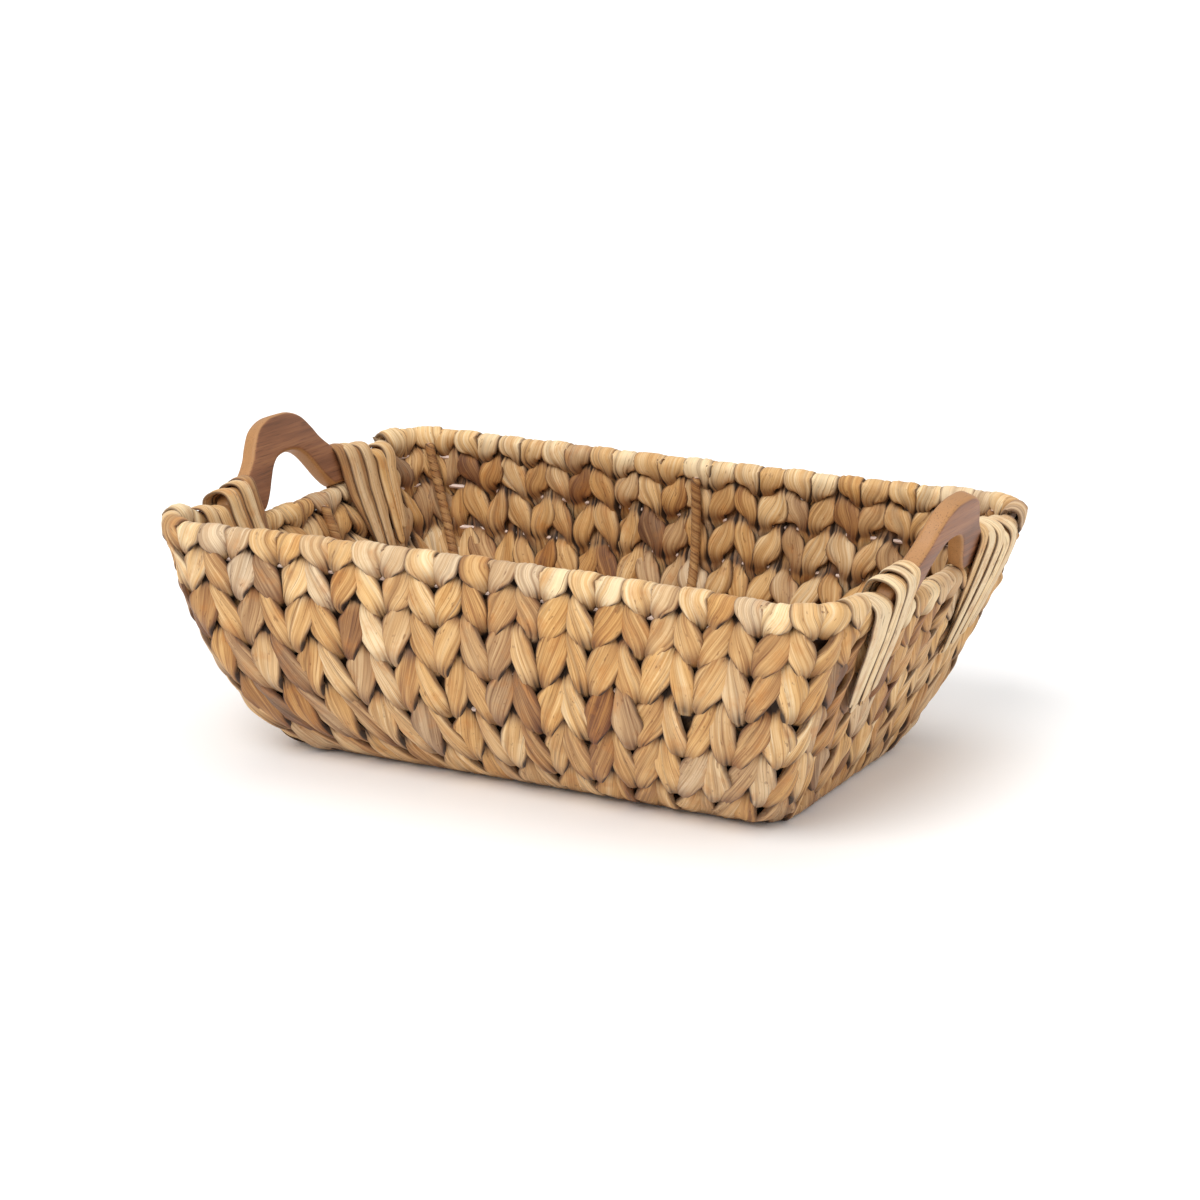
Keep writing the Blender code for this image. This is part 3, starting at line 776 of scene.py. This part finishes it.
def rib_cord(name, column):
    """Two twisted leaf cords that cover a rib on the wall's inner face."""
    weave = Weave(name)
    level = np.linspace(CORD_TOP, CORD_BOTTOM, 90) * top_level(column)
    middle, outward, side, _ = wall_frame(column, level)
    spine = middle - outward * (WALL / 2.0 + CORD_PROUD)
    run = np.concatenate([[0.0], np.cumsum(np.linalg.norm(np.diff(spine, axis=0), axis=1))])
    count = int(run[-1] / CORD_STEP)
    at = np.linspace(0.0, run[-1], count)

    def along(values):
        return np.stack([np.interp(at, run, values[:, i]) for i in range(3)], axis=1)

    spine, outward, side = along(spine), unit(along(outward)), unit(along(side))
    for start in (0.0, math.pi):
        angle = start + 2.0 * math.pi * at / CORD_TURN
        outs = outward * np.cos(angle)[:, None] + side * np.sin(angle)[:, None]
        flat = np.ones(count)
        look = np.outer(flat, CORD_LOOK)
        points = spine + outs * CORD_RADIUS
        width, thickness = CORD_WIDTH * flat, CORD_THICKNESS * flat
        sweep(weave, points, outs, width, thickness, look, creases=2, crease_depth=0.0002, sides=12)
    weave.make(LEAF)


for side_name, column in CROSS_RIBS.items():
    rib_cord(f"rib_cord_{side_name}_back", column)
    rib_cord(f"rib_cord_{side_name}_front", -column)
rib_cord("rib_cord_long_right", LONG_RIB)
rib_cord("rib_cord_long_left", COLUMNS / 2.0 - LONG_RIB)

# ---------------------------------------------------------------- handles

HANDLE_EDGE_RADIUS = 0.0022
OUTLINE_STEPS = 6  # points on the outline for each of its stations


def handle_outline():
    """Half of the bell-shaped outline: its outer side down to the foot, and the opening's side back up."""
    top, crown = HANDLE_HEIGHT, HANDLE_OPENING_HEIGHT
    foot, gap = HANDLE_HALF_WIDTH, HANDLE_OPENING_HALF_WIDTH
    outer = [
        (0.0, top),
        (0.30 * gap, 0.985 * top),
        (0.60 * gap, 0.90 * top),
        (0.82 * gap, 0.74 * top),
        (0.97 * gap, 0.60 * top),
        (1.20 * gap, 0.46 * top),
        (0.74 * foot, 0.375 * top),
        (0.87 * foot, 0.335 * top),
        (0.965 * foot, 0.27 * top),
        (foot, 0.165 * top),
        (0.96 * foot, 0.075 * top),
        (0.87 * foot, 0.020 * top),
        (0.78 * foot, 0.0),
    ]
    inner = [
        (gap, 0.0),
        (0.90 * gap, 0.10 * crown),
        (0.76 * gap, 0.30 * crown),
        (0.62 * gap, 0.55 * crown),
        (0.46 * gap, 0.80 * crown),
        (0.27 * gap, 0.955 * crown),
        (0.0, crown),
    ]
    return outer, inner


def through(points, steps=OUTLINE_STEPS):
    """A smooth line through points."""
    p = np.array(points, float)
    p = np.concatenate([[2 * p[0] - p[1]], p, [2 * p[-1] - p[-2]]])
    line = []
    for a, b, c, d in zip(p, p[1:], p[2:], p[3:]):
        for t in np.linspace(0.0, 1.0, steps, endpoint=False):
            bend = (2 * a - 5 * b + 4 * c - d) * t**2 + (3 * b - a - 3 * c + d) * t**3
            line.append(0.5 * (2 * b + (c - a) * t + bend))
    line.append(p[-2])
    return line


def handle_frame(end):
    """Middle of the handle's foot line, and its directions across, up and outward."""
    column = 0.0 if end > 0 else COLUMNS / 2.0
    lean_up = np.array([end * math.sin(HANDLE_LEAN), 0.0, math.cos(HANDLE_LEAN)])
    normal = np.array([end * math.cos(HANDLE_LEAN), 0.0, -math.sin(HANDLE_LEAN)])
    foot = wall_point(column, top_level(column), WALL / 2.0)
    foot = foot + lean_up * (WALL / 2.0 + 0.0003)
    return foot, np.cross(lean_up, normal), lean_up, normal


def foot_top(distance):
    """Height of the handle's upper edge above its foot line, at a distance from its middle."""
    outer, _ = handle_outline()
    line = [(u, v) for u, v in outer if v > 0.165 * HANDLE_HEIGHT - 1e-6]
    return float(np.interp(distance, [u for u, _ in line], [v for _, v in line]))


def handle(name, end, node):
    """A plank with rounded edges, in place of one of the CAD's handles."""
    outer, inner = handle_outline()

    def mirrored(station):
        return (-station[0], station[1])

    # one mirrored station beyond the middle makes each curve run smoothly over it
    line = [tuple(p) for p in through([mirrored(outer[1])] + outer)[OUTLINE_STEPS:]]
    back = through(inner + [mirrored(inner[-2])])
    back = [tuple(p) for p in back[: (len(inner) - 1) * OUTLINE_STEPS + 1]]
    half = line + back
    outline = half + [mirrored(station) for station in half[-2:0:-1]]
    curve = bpy.data.curves.new(name, "CURVE")
    curve.dimensions = "2D"
    curve.fill_mode = "BOTH"
    curve.extrude = HANDLE_THICKNESS / 2.0 - HANDLE_EDGE_RADIUS
    curve.bevel_depth = HANDLE_EDGE_RADIUS
    curve.bevel_resolution = 3
    curve.offset = -HANDLE_EDGE_RADIUS
    spline = curve.splines.new("POLY")
    spline.points.add(len(outline) - 1)
    for target, (u, v) in zip(spline.points, outline):
        target.co = (u, v, 0.0, 1.0)
    spline.use_cyclic_u = True
    drawn = bpy.data.objects.new(name + "_outline", curve)
    bpy.context.scene.collection.objects.link(drawn)
    bpy.context.view_layer.update()
    mesh = bpy.data.meshes.new_from_object(drawn.evaluated_get(bpy.context.evaluated_depsgraph_get()))
    bpy.data.objects.remove(drawn, do_unlink=True)
    mesh.name = name
    edge = mesh.attributes.new("edge", "FLOAT", "POINT")
    flat = HANDLE_THICKNESS / 2.0 - 0.0004
    for vertex in mesh.vertices:
        edge.data[vertex.index].value = 0.0 if abs(vertex.co.z) > flat else 1.0
    foot, across, lean_up, normal = handle_frame(end)
    place = Matrix.Translation(Vector(foot)) @ Matrix((across, lean_up, normal)).transposed().to_4x4()
    mesh.transform(place)
    mesh.materials.clear()
    mesh.materials.append(WOOD)
    mesh.shade_smooth()
    piece = bpy.data.objects.new(name, mesh)
    bpy.context.scene.collection.objects.link(piece)
    weld = piece.modifiers.new("weld", "WELD")
    weld.merge_threshold = 0.00002
    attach(piece, "root")
    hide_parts(node)


handle("wood_handle_left", -1.0, "handle_left")
handle("wood_handle_right", 1.0, "handle_right")

# ---------------------------------------------------------------- lashings

STRIP_WIDTH = 0.0102
STRIP_THICKNESS = 0.0019
LASHING_MIDDLE = 0.0585
LASHING_TAIL = 0.0420
STRIP_CLEARANCE = 0.0013
STRIP_STATIONS = (0.0455, 0.0528, 0.0598, 0.0664, 0.0726, 0.0784, 0.0838, 0.0886)


def strip(weave, end, side, over, low_outside, low_inside, lift, tail_out, tail_in, tone, grey):
    """One leaf strip: up the outside of the wall, over the handle's foot and down the inside.

    over is where it crosses the foot, low_outside and low_inside where its two tails end, as distances from
    the handle's middle. lift raises it off the strips below, and tail_out and tail_in are the tails' lengths.
    """
    start = 0.0 if end > 0 else COLUMNS / 2.0

    def column_at(distance):
        return start + side * end * arc_columns(distance)

    foot, _, lean_up, normal = handle_frame(end)
    top = float(top_level(column_at(over)))
    away = STRIP_CLEARANCE + lift
    points, outs = [], []

    def wall_run(tail, low, depth, facing, shares):
        for share in shares:
            distance = over + (low - over) * share
            column = column_at(distance)
            level = min(top, float(top_level(column))) - share * tail / RIM_WIRE_HEIGHT
            _, outward, _, _ = wall_frame(np.array([column]), np.array([level]))
            points.append(wall_point(column, level, depth))
            outs.append(outward[0] * facing)

    wall_run(tail_out, low_outside, -away, 1.0, np.linspace(1.0, 0.1, 9))
    middle = np.array([foot[0], side * over, foot[2]])
    rise = (top - float(top_level(start))) * RIM_WIRE_HEIGHT
    over_rim = HANDLE_HEIGHT * float(np.interp(over, [0.066, 0.078], [0.32, 0.02])) + rise
    height = max(foot_top(over), over_rim)
    half = WALL / 2.0 + away
    for turn, up in ((1.0, 0.35), (1.0, 0.72)):
        points.append(middle + normal * half * turn + lean_up * height * up)
        outs.append(normal)
    for degrees in (60.0, 30.0, 0.0, -30.0, -60.0):
        angle = math.radians(degrees)
        up = height * 0.86 + (height * 0.14 + away) * math.cos(angle)
        points.append(middle + normal * half * math.sin(angle) + lean_up * up)
        outs.append(normal * math.sin(angle) + lean_up * math.cos(angle))
    for up in (0.72, 0.35):
        points.append(middle - normal * half + lean_up * height * up)
        outs.append(-normal)
    wall_run(tail_in, low_inside, WALL + away, -1.0, np.linspace(0.1, 1.0, 9))
    points, outs = np.array(points), np.array(outs)
    count = len(points)
    place = np.linspace(0.0, 1.0, count)
    body = np.sin(np.clip(place, 0.02, 0.98) * math.pi) ** 0.35
    width = STRIP_WIDTH * (0.45 + 0.55 * body)
    look = np.stack([np.full(count, tone), np.full(count, grey), 0.25 * (1.0 - body)], axis=1)
    sweep(weave, points, outs, width, np.full(count, STRIP_THICKNESS), look, creases=3, crease_depth=0.0003)


def lashing(name, end, side, node, tone):
    """Leaf strips over one foot of a handle. Every other one lies higher and runs straighter down."""
    weave = Weave(name)
    for index, over in enumerate(STRIP_STATIONS):
        upper = index % 2
        gather = LASHING_MIDDLE + (over - LASHING_MIDDLE) * (0.80 if upper else -0.20)
        strip(
            weave,
            end,
            side,
            over,
            gather + random.uniform(-0.002, 0.002),
            gather + random.uniform(-0.003, 0.003),
            0.0013 * upper + 0.0003 * min(index, 3),
            LASHING_TAIL + random.uniform(-0.006, 0.002),
            LASHING_TAIL * 0.92 + random.uniform(-0.006, 0.002),
            float(np.clip(tone + (0.14 if upper else -0.10) + random.uniform(-0.10, 0.10), 0.2, 1.0)),
            random.uniform(0.0, 0.45),
        )
    weave.make(PALE_LEAF, [node])


lashing("leaf_tie_left_front", -1.0, -1.0, "lashing_left_front", 0.55)
lashing("leaf_tie_left_back", -1.0, 1.0, "lashing_left_back", 0.60)
lashing("leaf_tie_right_front", 1.0, -1.0, "lashing_right_front", 0.92)
lashing("leaf_tie_right_back", 1.0, 1.0, "lashing_right_back", 0.78)

# ---------------------------------------------------------------- wires, kept as the CAD has them

for node_name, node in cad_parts.items():
    if node_name.endswith("_wire") or node_name.startswith(("hoop_wire", "frame_rib")):
        node.data.materials.clear()
        node.data.materials.append(WIRE)

# ---------------------------------------------------------------- floor, light and camera

FLOOR_SIZE = 24.0
FLOOR_COLOUR = (0.97, 0.97, 0.97, 1.0)
WORLD_STRENGTH = 0.64

floor_mesh = bpy.data.meshes.new("studio_floor")
half_floor = FLOOR_SIZE / 2.0
corners = [(-half_floor, -half_floor, 0.0), (half_floor, -half_floor, 0.0)]
corners += [(half_floor, half_floor, 0.0), (-half_floor, half_floor, 0.0)]
floor_mesh.from_pydata(corners, [], [(0, 1, 2, 3)])
floor = bpy.data.objects.new("studio_floor", floor_mesh)
bpy.context.scene.collection.objects.link(floor)
floor_material = bpy.data.materials.new("studio_floor")
floor_material.use_nodes = True
floor_shader = floor_material.node_tree.nodes["Principled BSDF"]
floor_shader.inputs["Base Color"].default_value = FLOOR_COLOUR
floor_shader.inputs["Roughness"].default_value = 0.9
floor_mesh.materials.append(floor_material)

world = bpy.data.worlds.new("studio")
bpy.context.scene.world = world
world.use_nodes = True
background = world.node_tree.nodes["Background"]
background.inputs["Color"].default_value = (1.0, 1.0, 1.0, 1.0)
background.inputs["Strength"].default_value = WORLD_STRENGTH


def soft_sun(name, azimuth, elevation, strength, spread):
    """A distant soft light that comes from an azimuth and elevation, in degrees."""
    light = bpy.data.lights.new(name, "SUN")
    light.energy = strength
    light.angle = math.radians(spread)
    lamp = bpy.data.objects.new(name, light)
    around, up = math.radians(azimuth), math.radians(elevation)
    direction = Vector((math.sin(around) * math.cos(up), -math.cos(around) * math.cos(up), math.sin(up)))
    lamp.rotation_euler = direction.to_track_quat("Z", "Y").to_euler()
    bpy.context.scene.collection.objects.link(lamp)


soft_sun("key", -5.0, 48.0, 1.78, 36.0)
soft_sun("fill", 75.0, 35.0, 0.55, 60.0)
soft_sun("top", 200.0, 70.0, 0.60, 50.0)

CAMERA_AZIMUTH = math.radians(28.19)
CAMERA_ELEVATION = math.radians(15.34)
CAMERA_DISTANCE = 1.6719
CAMERA_TARGET = Vector((-0.00449, 0.01275, 0.07638))
CAMERA_LENS = 93.43

camera_data = bpy.data.cameras.new("camera")
camera_data.lens = CAMERA_LENS
camera_data.sensor_width = 36.0
camera = bpy.data.objects.new("camera", camera_data)
back = Vector(
    (
        math.sin(CAMERA_AZIMUTH) * math.cos(CAMERA_ELEVATION),
        -math.cos(CAMERA_AZIMUTH) * math.cos(CAMERA_ELEVATION),
        math.sin(CAMERA_ELEVATION),
    )
)
camera.location = CAMERA_TARGET + back * CAMERA_DISTANCE
camera.rotation_euler = back.to_track_quat("Z", "Y").to_euler()
bpy.context.scene.collection.objects.link(camera)
bpy.context.scene.camera = camera
bpy.context.scene.view_settings.view_transform = "Standard"
